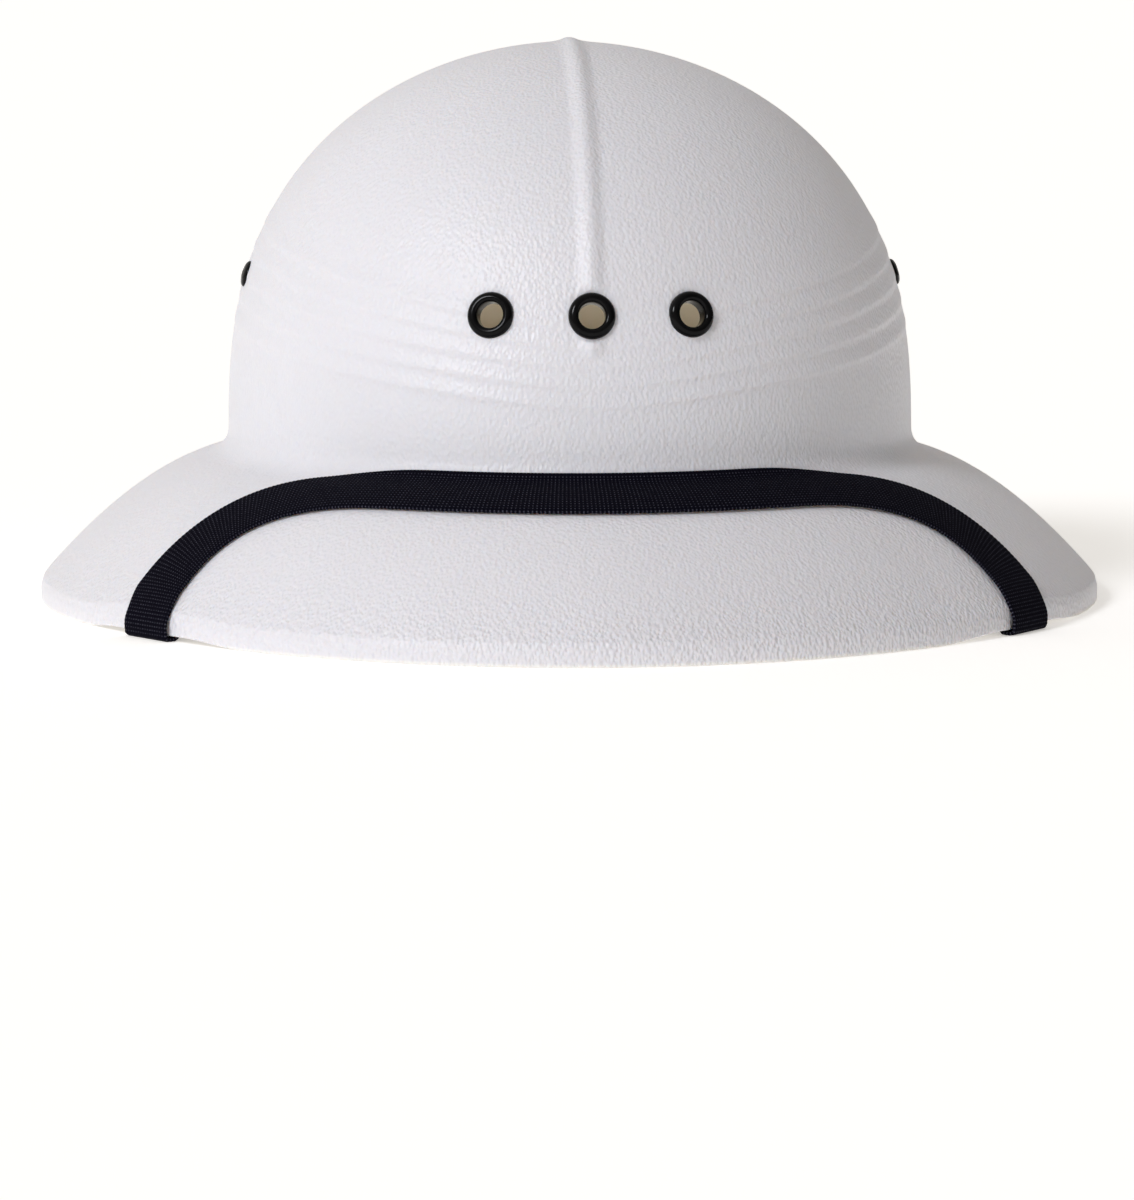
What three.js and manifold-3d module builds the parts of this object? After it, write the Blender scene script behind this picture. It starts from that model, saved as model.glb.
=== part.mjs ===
// Pith helmet: a moulded shell in two solids, vents and rivets, a two-piece headband and a woven chin strap.
// Millimetres, +Z up, front towards -Y. The origin is on the floor under the middle of the rim's box.
// Angles run round the helmet from the front, 0 at the front, 90 at the +X side and 180 at the back.
import * as THREE from 'three';
import { mergeVertices } from 'three/addons/utils/BufferGeometryUtils.js';
import Module from 'manifold-3d';

const wasm = await Module();
wasm.setup();

// Rim, seen from above: an egg, widest ahead of its middle
const rimHalfWidth = 152;
const rimFront = 160;
const rimRear = 186;
const rimFrontPower = 1.9; // 2 is an ellipse, less is more pointed
const rimRearPower = 2.1;

// Crown, seen from above at its foot, and its height over the floor
const crownHalfWidth = 98;
const crownFront = 107;
const crownRear = 110;
const crownTop = 158.5;
const crownUpright = 46.5; // height where the crown's wall stands upright
const crownPlanPower = 1.93; // roundness of the dome across
const crownRisePower = 2.6; // roundness of the dome upwards

// Brim, in section
const brimRoot = 42.2; // height of the brim's line where it meets the crown
const brimDropPower = 1.7; // above 1 the brim leaves the crown flat and steepens outwards
const footRound = 7; // hollow round between crown and brim
const lipHeight = 5.5;
const lipRound = 2.5;
const shellWall = 2;
const seamUp = 2.8; // the level that divides the shell into two solids, above the foot's hollow round

// Ridge along the middle of the crown
const ridgeWidth = 9;
const ridgeHeight = 1.2;
const ridgeSink = 1; // how far its foot reaches into the shell
const ridgeFrontEnd = 79.5; // height of its front end
const ridgeEndLength = 5; // stretch over which it runs out

// Pleats round the crown, lower at the front than at the sides
const pleatCount = 5;
const pleatDepth = 0.45;
const pleatEdge = 1; // height of the step under each pleat
const pleatLowFront = 61;
const pleatLowSide = 79;
const pleatHighFront = 82;
const pleatHighSide = 107;

// Vent grommets in the front of the crown
const ventHeight = 87.2;
const ventSpread = 16.6; // angle between neighbours
const ventHole = 7.1;
const ventFlange = 12.7;
const ventTube = 8.8; // outside of the tube through the shell
const ventRise = 1.8;
const ventCurl = 11.6; // rolled edge inside the shell
const ventCurlRise = 1.2;

// Side rivets, which also hold the hangers
const rivetAngle = 85;
const rivetHeight = 93;
const rivetHead = 7.6;
const rivetShank = 4;
const rivetRise = 1.4;
const rivetDimple = 1.4;
const rivetDimpleDepth = 0.6;
const rivetInnerRise = 1;

// Headband: a front strip outside, a rear strip inside, lapped at the sides
const bandRoomSide = 3; // from the crown's plan to the band's outside, at the band's lower edge
const bandRoomFront = 4;
const bandRoomRear = 5;
const bandLean = 6; // how much less its upper edge measures to each side
const bandBottom = 37.5;
const bandHeight = 28.5;
const bandWall = 1.2;
const bandFrontEnd = 100; // angle where the front strip ends
const bandRearStart = 64; // angle where the rear strip starts

// Hangers from the side rivets down to the headband
const hangerWidth = 13;
const hangerWall = 1.2;
const hangerTopReach = 6; // above and below the rivet, flat on the shell
const hangerFoot = 5; // its lower end, above the band's lower edge

// Studs through the headband
const studHead = 7;
const studShank = 3.2;
const studRise = 0.9;
const studFlat = 0.65; // flat top of the head, share of the head
const hangerStudUp = 13; // above the band's lower edge

// Chin strap
const strapWidth = 19;
const strapWall = 1.2;
const strapStandoff = 10.5; // from the crown's wall to the middle of the strap, seen from above
const strapLeaves = 33; // angle where it leaves the crown
const strapWraps = 52.5; // angle where it goes round the rim
const strapAnchor = 58; // angle of the stud that holds its end
const strapStudUp = 11.5; // above the band's lower edge
const strapEndUp = 19.5; // its end, above the band's lower edge
const strapBend = 4; // round where it turns up on to the band
const strapBow = 5; // how far its run under the brim bows up
const sweepLeaving = 0.45; // pull of its sweep where it leaves the crown, share of the sweep
const sweepArriving = 0.3; // and where it meets the rim

// Clearances
const gap = 0.3; // between pieces that touch
const seatSink = 0.35; // flat seats cut for rivets and grommets
const curlGap = 0.9; // between the curved shell and the rolled edge inside it
const hangerGap = 1.2; // between the curved shell and the flat hanger inside it
const strapGap = 0.6; // between the strap and the shell's facets
const studGap = 0.3; // left inside the band for its curve
const liftFlat = 14; // half the length of rim raised evenly over the strap
const liftFade = 26; // length over which the rim comes down again

// Facets
const columns = 60;
const grommetSides = 16;
const studSides = 12;
const stripStep = 7; // angle between stations along the headband
const sliver = 0.005; // triangles thinner than this are merged into their neighbours

const radians = THREE.MathUtils.degToRad;
const mix = THREE.MathUtils.lerp;
const up = new THREE.Vector3(0, 0, 1);
const rimPlan = {
  halfWidth: rimHalfWidth,
  front: rimFront,
  rear: rimRear,
  frontPower: rimFrontPower,
  rearPower: rimRearPower,
};
const crownPlan = ovalPlan(crownHalfWidth, crownFront, crownRear);
const bandTop = bandBottom + bandHeight;
const bandPlan = ovalPlan(
  crownHalfWidth - bandRoomSide,
  crownFront - bandRoomFront,
  crownRear - bandRoomRear,
);

// Plans: a front and a rear half that share their width
function ovalPlan(halfWidth, front, rear) {
  return { halfWidth, front, rear, frontPower: 2, rearPower: 2 };
}

function grow(plan, by) {
  return { ...plan, halfWidth: plan.halfWidth + by, front: plan.front + by, rear: plan.rear + by };
}

function scalePlan(plan, by) {
  return { ...plan, halfWidth: plan.halfWidth * by, front: plan.front * by, rear: plan.rear * by };
}

function mixPlan(a, b, share) {
  return Object.fromEntries(Object.keys(a).map((key) => [key, mix(a[key], b[key], share)]));
}

function planPoint(plan, angle, height) {
  const across = Math.sin(radians(angle));
  const ahead = Math.cos(radians(angle));
  const [depth, power] = ahead > 0 ? [plan.front, plan.frontPower] : [plan.rear, plan.rearPower];
  const x = plan.halfWidth * Math.sign(across) * Math.abs(across) ** (2 / power);
  const y = -depth * Math.sign(ahead) * Math.abs(ahead) ** (2 / power);
  return new THREE.Vector3(x, y, height);
}

function planTangent(plan, angle) {
  const step = 0.01;
  const tangent = planPoint(plan, angle + step, 0).sub(planPoint(plan, angle - step, 0));
  return tangent.normalize();
}

function planOutward(plan, angle) {
  return planTangent(plan, angle).cross(up);
}

// Rim lift over the strap: the limber brim bows up by the strap's thickness where it stands on it
function liftAt(angle) {
  const wrapped = Math.abs(((angle + 540) % 360) - 180);
  const away = planPoint(rimPlan, wrapped, 0).distanceTo(planPoint(rimPlan, strapWraps, 0));
  const share = THREE.MathUtils.clamp(1 - (away - liftFlat) / liftFade, 0, 1);
  return (strapWall + strapGap) * share * share * (3 - 2 * share);
}

// Shell surface, in four zones from the crown's top to the rim's lower edge
const footTop = brimRoot + footRound;
const seamHeight = footTop + seamUp;
const dome = crownTop - crownUpright;

function crownTurnAt(height) {
  return Math.acos(((height - crownUpright) / dome) ** (crownRisePower / 2));
}

function crownPoint(angle, turn, proud = 0) {
  const share = Math.sin(turn) ** (2 / crownPlanPower);
  const height = crownUpright + dome * Math.cos(turn) ** (2 / crownRisePower);
  return planPoint(grow(scalePlan(crownPlan, share), proud), angle, height);
}

function brimRun(angle) {
  return planPoint(crownPlan, angle, 0).distanceTo(planPoint(rimPlan, angle, 0));
}

function brimLine(share) {
  return lipHeight + (brimRoot - lipHeight) * (1 - share ** brimDropPower);
}

function brimSlope(share) {
  return (brimRoot - lipHeight) * brimDropPower * share ** (brimDropPower - 1);
}

function brimHeight(angle, share) {
  const foot = footRound / brimRun(angle);
  if (share >= foot) return brimLine(share);
  const along = Math.sqrt(share / foot);
  const corner = brimLine(foot) + brimSlope(foot) * foot;
  return (1 - along) ** 2 * footTop + 2 * along * (1 - along) * corner + along ** 2 * brimLine(foot);
}

function brimPoint(angle, share) {
  const wall = scalePlan(crownPlan, Math.sin(crownTurnAt(footTop)) ** (2 / crownPlanPower));
  const height = brimHeight(angle, share) + liftAt(angle) * share * share;
  return planPoint(mixPlan(wall, rimPlan, share), angle, height);
}

function lipPoint(angle, share) {
  const lift = liftAt(angle);
  const start = brimPoint(angle, 1 - lipRound / brimRun(angle));
  const corner = planPoint(rimPlan, angle, lipHeight + lift);
  const face = planPoint(rimPlan, angle, lipHeight - lipRound + lift);
  const round = new THREE.QuadraticBezierCurve3(start, corner, face);
  if (share < 0.5) return round.getPoint(share * 2);
  return face.setZ(mix(lipHeight - lipRound, 0, share * 2 - 1) + lift);
}

const zones = {
  crown: (angle, share) => crownPoint(angle, share * crownTurnAt(footTop)),
  foot: (angle, share) => brimPoint(angle, (share * share * footRound) / brimRun(angle)),
  brim: (angle, share) => {
    const run = brimRun(angle);
    return brimPoint(angle, mix(footRound / run, 1 - lipRound / run, share));
  },
  lip: lipPoint,
};

// Outward normal of a surface given as a function of angle and share
function normalOf(surface, angle, share) {
  const step = 0.001;
  const low = Math.max(share - step, 0);
  const high = Math.min(share + step, 1);
  const along = surface(angle, high).sub(surface(angle, low));
  const round = surface(angle + step, share).sub(surface(angle - step, share));
  return along.cross(round).normalize();
}

function insidePoint(surface, angle, share) {
  return surface(angle, share).addScaledVector(normalOf(surface, angle, share), -shellWall);
}

// Closed skin through rings of points; each end is closed by a fan to a tip
function loft(rings, tips = []) {
  const size = rings[0].length;
  const middle = (ring) => ring.reduce((sum, p) => sum.add(p), new THREE.Vector3()).divideScalar(size);
  const points = [...rings.flat(), tips[0] ?? middle(rings[0]), tips[1] ?? middle(rings[rings.length - 1])];
  const firstTip = points.length - 2;
  const lastRing = (rings.length - 1) * size;
  const faces = [];
  for (let k = 0; k < size; k++) {
    const next = (k + 1) % size;
    faces.push(firstTip, next, k);
    faces.push(firstTip + 1, lastRing + k, lastRing + next);
    for (let row = 0; row < lastRing; row += size) {
      faces.push(row + k, row + next, row + size + k);
      faces.push(row + next, row + size + next, row + size + k);
    }
  }
  const geometry = new THREE.BufferGeometry();
  geometry.setAttribute('position', new THREE.Float32BufferAttribute(points.flatMap((p) => p.toArray()), 3));
  geometry.setIndex(faces);
  return facingOut(geometry);
}

function facingOut(geometry) {
  const at = geometry.getAttribute('position');
  const index = geometry.getIndex().array;
  const corner = (k) => new THREE.Vector3().fromBufferAttribute(at, index[k]);
  let volume = 0;
  for (let k = 0; k < index.length; k += 3) volume += corner(k).dot(corner(k + 1).cross(corner(k + 2)));
  if (volume < 0) geometry.setIndex(Array.from(index).reverse());
  return geometry;
}

// Solids for cutting and joining
function solid(geometry) {
  const bare = geometry.clone();
  bare.deleteAttribute('normal');
  bare.deleteAttribute('uv');
  const merged = mergeVertices(bare, 1e-4);
  const vertProperties = new Float32Array(merged.getAttribute('position').array);
  const triVerts = new Uint32Array(merged.getIndex().array);
  return new wasm.Manifold(new wasm.Mesh({ numProp: 3, vertProperties, triVerts }));
}

function geometryOf(body) {
  const cut = body.simplify(sliver).getMesh();
  const geometry = new THREE.BufferGeometry();
  geometry.setAttribute('position', new THREE.Float32BufferAttribute(cut.vertProperties, 3));
  geometry.setIndex(Array.from(cut.triVerts));
  return geometry;
}

// Turned piece: its profile lists radius and height, and its axis is +Z
function turned(profile, sides) {
  const points = profile.map(([radius, height]) => new THREE.Vector2(radius, height));
  return facingOut(new THREE.LatheGeometry(points, sides).rotateX(Math.PI / 2));
}

// Plain cylinder along +Z between two heights
function rod(diameter, low, high, sides) {
  const cylinder = new THREE.CylinderGeometry(diameter / 2, diameter / 2, high - low, sides);
  return cylinder.rotateX(Math.PI / 2).translate(0, 0, (low + high) / 2);
}

// Place on a surface, with +Z along its outward normal
function frameAt(point, normal) {
  const turn = new THREE.Quaternion().setFromUnitVectors(up, normal);
  return new THREE.Matrix4().compose(point, turn, new THREE.Vector3(1, 1, 1));
}

function crownFrame(angle, height) {
  const share = crownTurnAt(height) / crownTurnAt(footTop);
  return frameAt(zones.crown(angle, share), normalOf(zones.crown, angle, share));
}

// Headband surface: it leans in towards its upper edge
function bandPoint(angle, height, out = 0) {
  const lean = (bandLean * (height - bandBottom)) / bandHeight;
  return planPoint(grow(bandPlan, out - lean), angle, height);
}

function bandNormal(angle) {
  return planOutward(bandPlan, angle).multiplyScalar(bandHeight).addScaledVector(up, bandLean).normalize();
}

function bandFrame(angle, height) {
  return frameAt(bandPoint(angle, height), bandNormal(angle));
}

// Pleat lines: they rise evenly from the front to the sides and run level round the back
function pleatHeight(angle, share) {
  const round = Math.min(Math.abs(((angle + 540) % 360) - 180), 90) / 90;
  const low = mix(pleatLowFront, pleatLowSide, round);
  const high = mix(pleatHighFront, pleatHighSide, round);
  return mix(low, high, share);
}

// Shell: rows of points down the outside, over the rim's edge and back up the inside
const topRows = 8;
const footRows = 3;
const brimRows = 6;
const lipRowShares = [0.25, 0.5, 1];
const innerRows = { lip: 2, brim: 3, foot: 2, crown: 10 };

function outerRows() {
  const rows = [];
  for (let k = 1; k <= topRows; k++) {
    const share = k / (topRows + 1);
    rows.push((angle) => crownPoint(angle, share * crownTurnAt(pleatHeight(angle, 1) + pleatEdge)));
  }
  for (let k = pleatCount - 1; k >= 0; k--) {
    const share = k / (pleatCount - 1);
    rows.push((angle) => crownPoint(angle, crownTurnAt(pleatHeight(angle, share) + pleatEdge), pleatDepth));
    rows.push((angle) => crownPoint(angle, crownTurnAt(pleatHeight(angle, share))));
  }
  rows.push((angle) => crownPoint(angle, crownTurnAt(mix(pleatHeight(angle, 0), footTop, 0.5))));
  for (let k = 0; k <= footRows; k++) rows.push((angle) => zones.foot(angle, k / footRows));
  for (let k = 1; k <= brimRows; k++) rows.push((angle) => zones.brim(angle, k / brimRows));
  for (const share of lipRowShares) rows.push((angle) => zones.lip(angle, share));
  return rows;
}

function shellRings() {
  const rows = outerRows();
  for (const [zone, count] of Object.entries(innerRows)) {
    for (let k = 0; k < count; k++) rows.push((angle) => insidePoint(zones[zone], angle, 1 - k / count));
  }
  const angles = Array.from({ length: columns }, (_, k) => (k * 360) / columns);
  return rows.map((row) => angles.map(row));
}

function shellSkin() {
  const tips = [new THREE.Vector3(0, 0, crownTop), new THREE.Vector3(0, 0, crownTop - shellWall)];
  return loft(shellRings(), tips);
}

// Ridge: a low rounded bead that runs out at both ends
function ridge() {
  const sides = 6;
  const steps = 20;
  const nearTop = 0.02;
  const frontTurn = crownTurnAt(ridgeFrontEnd);
  const rearTurn = crownTurnAt(pleatHeight(180, 1) + pleatEdge);
  const ends = [crownPoint(0, frontTurn), crownPoint(180, rearTurn)];
  const rings = [];
  for (let k = 0; k <= steps; k++) {
    const turn = mix(-frontTurn, rearTurn, k / steps);
    const angle = turn < 0 ? 0 : 180;
    const point = crownPoint(angle, Math.abs(turn));
    const share = Math.abs(turn) / crownTurnAt(footTop);
    const normal = Math.abs(turn) < nearTop ? up : normalOf(zones.crown, angle, share);
    const toEnd = Math.min(...ends.map((end) => point.distanceTo(end)));
    const fullness = Math.sqrt(Math.min(toEnd / ridgeEndLength, 1));
    const ring = [];
    for (let side = 0; side <= sides; side++) {
      const across = mix(-1, 1, side / sides);
      const rise = ridgeHeight * fullness * Math.cos((across * Math.PI) / 2) ** 2;
      const offset = new THREE.Vector3((across * ridgeWidth) / 2, 0, 0);
      ring.push(point.clone().add(offset).addScaledVector(normal, rise));
    }
    for (const across of [1, -1]) {
      const offset = new THREE.Vector3((across * ridgeWidth) / 2, 0, 0);
      ring.push(point.clone().add(offset).addScaledVector(normal, -ridgeSink));
    }
    rings.push(ring);
  }
  return loft(rings);
}

const ventFrames = {
  left: crownFrame(-ventSpread, ventHeight),
  centre: crownFrame(0, ventHeight),
  right: crownFrame(ventSpread, ventHeight),
};

const rivetFrames = {
  left: crownFrame(-rivetAngle, rivetHeight),
  right: crownFrame(rivetAngle, rivetHeight),
};

// The shell's two solids, crown and brim, a clearance apart at the seam
function shellSolids() {
  let body = solid(shellSkin()).add(solid(ridge()));
  const cut = (frame, seat, hole, sides) => {
    const clear = ridgeHeight + pleatDepth + 1;
    const place = frame.toArray();
    body = body.subtract(solid(rod(seat + 2 * gap, -seatSink, clear, sides)).transform(place));
    body = body.subtract(solid(rod(hole + 2 * gap, -2 * shellWall, clear, sides)).transform(place));
  };
  for (const frame of Object.values(ventFrames)) cut(frame, ventFlange, ventTube, grommetSides);
  for (const frame of Object.values(rivetFrames)) cut(frame, rivetHead, rivetShank, studSides);
  return {
    crown: geometryOf(body.trimByPlane([0, 0, 1], seamHeight + gap / 2)),
    brim: geometryOf(body.trimByPlane([0, 0, -1], gap / 2 - seamHeight)),
  };
}

// Grommet face: across from the hole to the flange's edge, up from its seat to its highest ring
const grommetFace = [
  { across: 0, up: 0.45 },
  { across: 0.12, up: 0.85 },
  { across: 0.36, up: 1 },
  { across: 0.7, up: 0.78 },
  { across: 0.93, up: 0.38 },
  { across: 1, up: 0 },
];
const curlEdge = 0.5; // thickness of the rolled edge at its rim, share of its rise

// Grommet: domed flange outside, tube through the wall, rolled edge inside
function grommet() {
  const seat = gap - seatSink;
  const inside = -(shellWall + curlGap);
  const hole = ventHole / 2;
  const tube = ventTube / 2;
  const flange = ventFlange / 2;
  const curl = ventCurl / 2;
  const profile = [
    [hole, inside - ventCurlRise * curlEdge],
    ...grommetFace.map(({ across, up: rise }) => [mix(hole, flange, across), seat + ventRise * rise]),
    [tube, seat],
    [tube, inside],
    [curl, inside],
    [curl, inside - ventCurlRise * curlEdge],
    [(hole + curl) / 2, inside - ventCurlRise],
    [hole, inside - ventCurlRise * curlEdge],
  ];
  return turned(profile, grommetSides);
}

// Rivet head: across from its dimple to its edge, up from its seat
const rivetDome = [
  { across: 0, up: 1 },
  { across: 0.45, up: 0.9 },
  { across: 0.85, up: 0.5 },
  { across: 1, up: 0 },
];
const rivetInnerFlat = 0.6; // flat of the inner head, share of the way to its edge

// Side rivet: domed head with a small dimple, shank through shell and hanger, low head inside
function sideRivet() {
  const seat = gap - seatSink;
  const inside = -(shellWall + hangerGap + hangerWall + studGap);
  const head = rivetHead / 2;
  const shank = rivetShank / 2;
  const dimple = rivetDimple / 2;
  const profile = [
    [0, seat + rivetRise - rivetDimpleDepth],
    [dimple, seat + rivetRise - rivetDimpleDepth],
    ...rivetDome.map(({ across, up: rise }) => [mix(dimple, head, across), seat + rivetRise * rise]),
    [shank, seat],
    [shank, inside],
    [head, inside],
    [mix(dimple, head, rivetInnerFlat), inside - rivetInnerRise],
    [0, inside - rivetInnerRise],
  ];
  return turned(profile, studSides);
}

// Headband strips: plain walls along a stretch of the band, their outer face this far out
function bandStrip(out, from, to) {
  const steps = Math.round((to - from) / stripStep);
  const rings = [];
  for (let k = 0; k <= steps; k++) {
    const angle = mix(from, to, k / steps);
    rings.push([
      bandPoint(angle, bandBottom, out),
      bandPoint(angle, bandTop, out),
      bandPoint(angle, bandTop, out - bandWall),
      bandPoint(angle, bandBottom, out - bandWall),
    ]);
  }
  return loft(rings);
}

// Studs: each holds a strap or hanger of the given wall to one or two strips of the band
const studPlaces = {
  hanger: { angle: rivetAngle, height: bandBottom + hangerStudUp, wall: hangerWall, strips: 2 },
  strap: { angle: strapAnchor, height: bandBottom + strapStudUp, wall: strapWall, strips: 1 },
};

function studFrame(place, side) {
  return bandFrame(side * place.angle, place.height);
}

function stud(place) {
  const outside = place.wall + 2 * gap;
  const inside = -(place.strips * (bandWall + gap) + studGap);
  const head = studHead / 2;
  const shank = studShank / 2;
  const profile = [
    [0, outside + studRise],
    [head * studFlat, outside + studRise],
    [head, outside],
    [shank, outside],
    [shank, inside],
    [head, inside],
    [head * studFlat, inside - studRise],
    [0, inside - studRise],
  ];
  return turned(profile, studSides);
}

function studHole(place, side) {
  const reach = 3 * (bandWall + place.wall);
  const cutter = solid(rod(studShank + 2 * gap, -reach, reach, studSides));
  return cutter.transform(studFrame(place, side).toArray());
}

function withStudHoles(geometry, kinds) {
  let body = solid(geometry);
  for (const kind of kinds) {
    for (const side of [1, -1]) body = body.subtract(studHole(studPlaces[kind], side));
  }
  return geometryOf(body);
}

// Flat strip through stations, each with its middle, the way across it and its outward normal
function stripRing({ middle, across, normal }, width, wall) {
  const corner = (side, face) => {
    const edge = middle.clone().addScaledVector(across, (side * width) / 2);
    return edge.addScaledVector(normal, (face * wall) / 2);
  };
  return [corner(-1, -1), corner(1, -1), corner(1, 1), corner(-1, 1)];
}

// Hanger: flat on the shell round its rivet, then down to lie flat on the band
function hanger(side) {
  const rivetMatrix = rivetFrames[side > 0 ? 'right' : 'left'];
  const rivetNormal = new THREE.Vector3().setFromMatrixColumn(rivetMatrix, 2);
  const rivetPoint = new THREE.Vector3().setFromMatrixPosition(rivetMatrix);
  const across = planTangent(bandPlan, side * rivetAngle);
  const uphill = rivetNormal.clone().cross(across).normalize();
  if (uphill.z < 0) uphill.negate();
  const flat = rivetPoint.addScaledVector(rivetNormal, -(shellWall + hangerGap + hangerWall / 2));
  const normal = bandNormal(side * rivetAngle);
  const onBand = (height) => {
    return bandPoint(side * rivetAngle, height).addScaledVector(normal, gap + hangerWall / 2);
  };
  const stations = [
    { middle: flat.clone().addScaledVector(uphill, hangerTopReach), across, normal: rivetNormal },
    { middle: flat.clone().addScaledVector(uphill, -hangerTopReach), across, normal: rivetNormal },
    { middle: onBand(bandTop), across, normal },
    { middle: onBand(bandBottom + hangerFoot), across, normal },
  ];
  const strip = solid(loft(stations.map((station) => stripRing(station, hangerWidth, hangerWall))));
  const reach = 3 * (shellWall + hangerWall);
  const cutter = solid(rod(rivetShank + 2 * gap, -reach, reach, studSides));
  const rivetHole = cutter.transform(rivetMatrix.toArray());
  return geometryOf(strip.subtract(rivetHole).subtract(studHole(studPlaces.hanger, side)));
}

// Chin strap, worked out for the +X side and mirrored
const strapLift = strapGap + strapWall / 2;

// Shell surface under a point of the plan, with its outward normal
function onBrim(x, y) {
  const reach = (share) => {
    const plan = mixPlan(crownPlan, rimPlan, share);
    return (x / plan.halfWidth) ** 2 + (y / (y < 0 ? plan.front : plan.rear)) ** 2;
  };
  let low = 0;
  let high = 1;
  for (let k = 0; k < 40; k++) {
    const middle = (low + high) / 2;
    if (reach(middle) > 1) low = middle;
    else high = middle;
  }
  const plan = mixPlan(crownPlan, rimPlan, low);
  const depth = y < 0 ? plan.front : plan.rear;
  const angle = THREE.MathUtils.radToDeg(Math.atan2(x / plan.halfWidth, -y / depth));
  return { point: brimPoint(angle, low), normal: normalOf(brimPoint, angle, low) };
}

// Route over the brim, seen from above: round the crown's foot, then in one sweep out to the rim
function strapPlanRoute() {
  const beside = grow(crownPlan, strapStandoff);
  const start = planPoint(beside, strapLeaves, 0);
  const end = planPoint(grow(rimPlan, -lipRound), strapWraps, 0);
  const length = start.distanceTo(end);
  const leaving = start.clone().addScaledVector(planTangent(beside, strapLeaves), length * sweepLeaving);
  const arriving = end.clone().addScaledVector(planOutward(rimPlan, strapWraps), -length * sweepArriving);
  const sweep = new THREE.CubicBezierCurve3(start, leaving, arriving, end);
  const bendSteps = 5;
  const sweepSteps = 9;
  const points = [];
  for (let k = 0; k < bendSteps; k++) points.push(planPoint(beside, (strapLeaves * k) / bendSteps, 0));
  return [...points, ...sweep.getPoints(sweepSteps)];
}

const strapAcross = [-1, -0.33, 0.33, 1];
const strapRunSteps = 6;

// Section of the strap from its edge points on the lower face and their normals
function strapRing(points, normals) {
  const lower = points.map((p, k) => p.clone().addScaledVector(normals[k], -strapWall / 2));
  const upper = points.map((p, k) => p.clone().addScaledVector(normals[k], strapWall / 2));
  return [...lower, ...upper.reverse()];
}

function strapRingOnBrim(point, ahead) {
  const middle = onBrim(point.x, point.y);
  const along = ahead.clone().projectOnPlane(middle.normal).normalize();
  const across = middle.normal.clone().cross(along);
  const spots = strapAcross.map((share) => {
    const offset = across.clone().multiplyScalar((share * strapWidth) / 2);
    return onBrim(point.x + offset.x, point.y + offset.y);
  });
  const points = spots.map((spot) => spot.point.clone().addScaledVector(spot.normal, strapLift));
  return strapRing(points, spots.map((spot) => spot.normal));
}

function strapRingAt(middle, across, normal) {
  const halfWidth = strapWidth / 2;
  const points = strapAcross.map((share) => middle.clone().addScaledVector(across, share * halfWidth));
  return strapRing(points, strapAcross.map(() => normal));
}

// Stations down the lip: out and up in lip rounds from the top of its upright face, and the strap's tilt
const strapDownLip = [
  { out: -0.42, up: 1.12, degrees: 28 },
  { out: 0, up: 0, degrees: 0 },
];
const strapOuterTilts = [0, -45, -90]; // round the outer lower edge
const strapInnerTilts = [-90, -118]; // round the inner lower edge

// Round the rim's lower edge: down its outer face, under it and up towards the band
function strapRingsRoundRim() {
  const outward = planOutward(rimPlan, strapWraps);
  const across = up.clone().cross(outward);
  const lift = strapWall + strapGap;
  const rings = [];
  const add = (out, height, tilt) => {
    const normal = outward.clone().multiplyScalar(Math.cos(tilt)).addScaledVector(up, Math.sin(tilt));
    const middle = planPoint(rimPlan, strapWraps, height).addScaledVector(outward, out);
    rings.push(strapRingAt(middle, across, normal));
  };
  const face = lipHeight - lipRound + lift;
  for (const { out, up: height, degrees } of strapDownLip) {
    add(strapLift + out * lipRound, face + height * lipRound, radians(degrees));
  }
  for (const degrees of strapOuterTilts) {
    const tilt = radians(degrees);
    add(strapLift * Math.cos(tilt), lift + strapLift * Math.sin(tilt), tilt);
  }
  for (const degrees of strapInnerTilts) {
    const tilt = radians(degrees);
    add(-shellWall + strapLift * Math.cos(tilt), lift + strapLift * Math.sin(tilt), tilt);
  }
  return rings;
}

// Run under the brim, bowed up a little, then up the band's outer face to its end
function strapRingsToBand(start) {
  const outward = planOutward(bandPlan, strapAnchor);
  const across = up.clone().cross(outward);
  const normal = bandNormal(strapAnchor);
  const onBand = (height) => bandPoint(strapAnchor, height).addScaledVector(normal, gap + strapWall / 2);
  const end = onBand(bandBottom + strapBend);
  const below = onBand(bandBottom - strapBend).addScaledVector(outward, strapBend);
  const bowed = start.clone().lerp(below, 0.5).addScaledVector(up, strapBow);
  const run = new THREE.CatmullRomCurve3([start, bowed, below, end]);
  const rings = [];
  for (let k = 1; k <= strapRunSteps; k++) {
    const share = k / strapRunSteps;
    const sideways = strapAcrossAt(share, across);
    const tangent = run.getTangent(share);
    rings.push(strapRingAt(run.getPoint(share), sideways, tangent.cross(sideways).normalize()));
  }
  rings.push(strapRingAt(onBand(bandBottom + strapEndUp), across, normal.clone().negate()));
  return rings;
}

// Way across the strap, turning from the rim's direction to the band's
function strapAcrossAt(share, across) {
  return up.clone().cross(planOutward(rimPlan, strapWraps)).lerp(across, share).normalize();
}

function strapHalf() {
  const route = strapPlanRoute();
  const rings = route.map((point, k) => {
    const next = route[Math.min(k + 1, route.length - 1)];
    const last = k === 0 ? point.clone().setX(-1) : route[k - 1];
    return strapRingOnBrim(point, next.clone().sub(last));
  });
  const wrap = strapRingsRoundRim();
  const last = wrap[wrap.length - 1];
  const start = last.reduce((sum, p) => sum.add(p), new THREE.Vector3()).divideScalar(last.length);
  return [...rings, ...wrap, ...strapRingsToBand(start)];
}

function chinStrap() {
  const half = strapHalf();
  const mirrored = half.slice(1).map((ring) => ring.map((p) => new THREE.Vector3(-p.x, p.y, p.z)));
  return withStudHoles(loft([...mirrored.reverse(), ...half]), ['strap']);
}

// Materials
function material(color, roughness, metalness = 0) {
  return new THREE.MeshStandardMaterial({ color, roughness, metalness });
}

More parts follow.
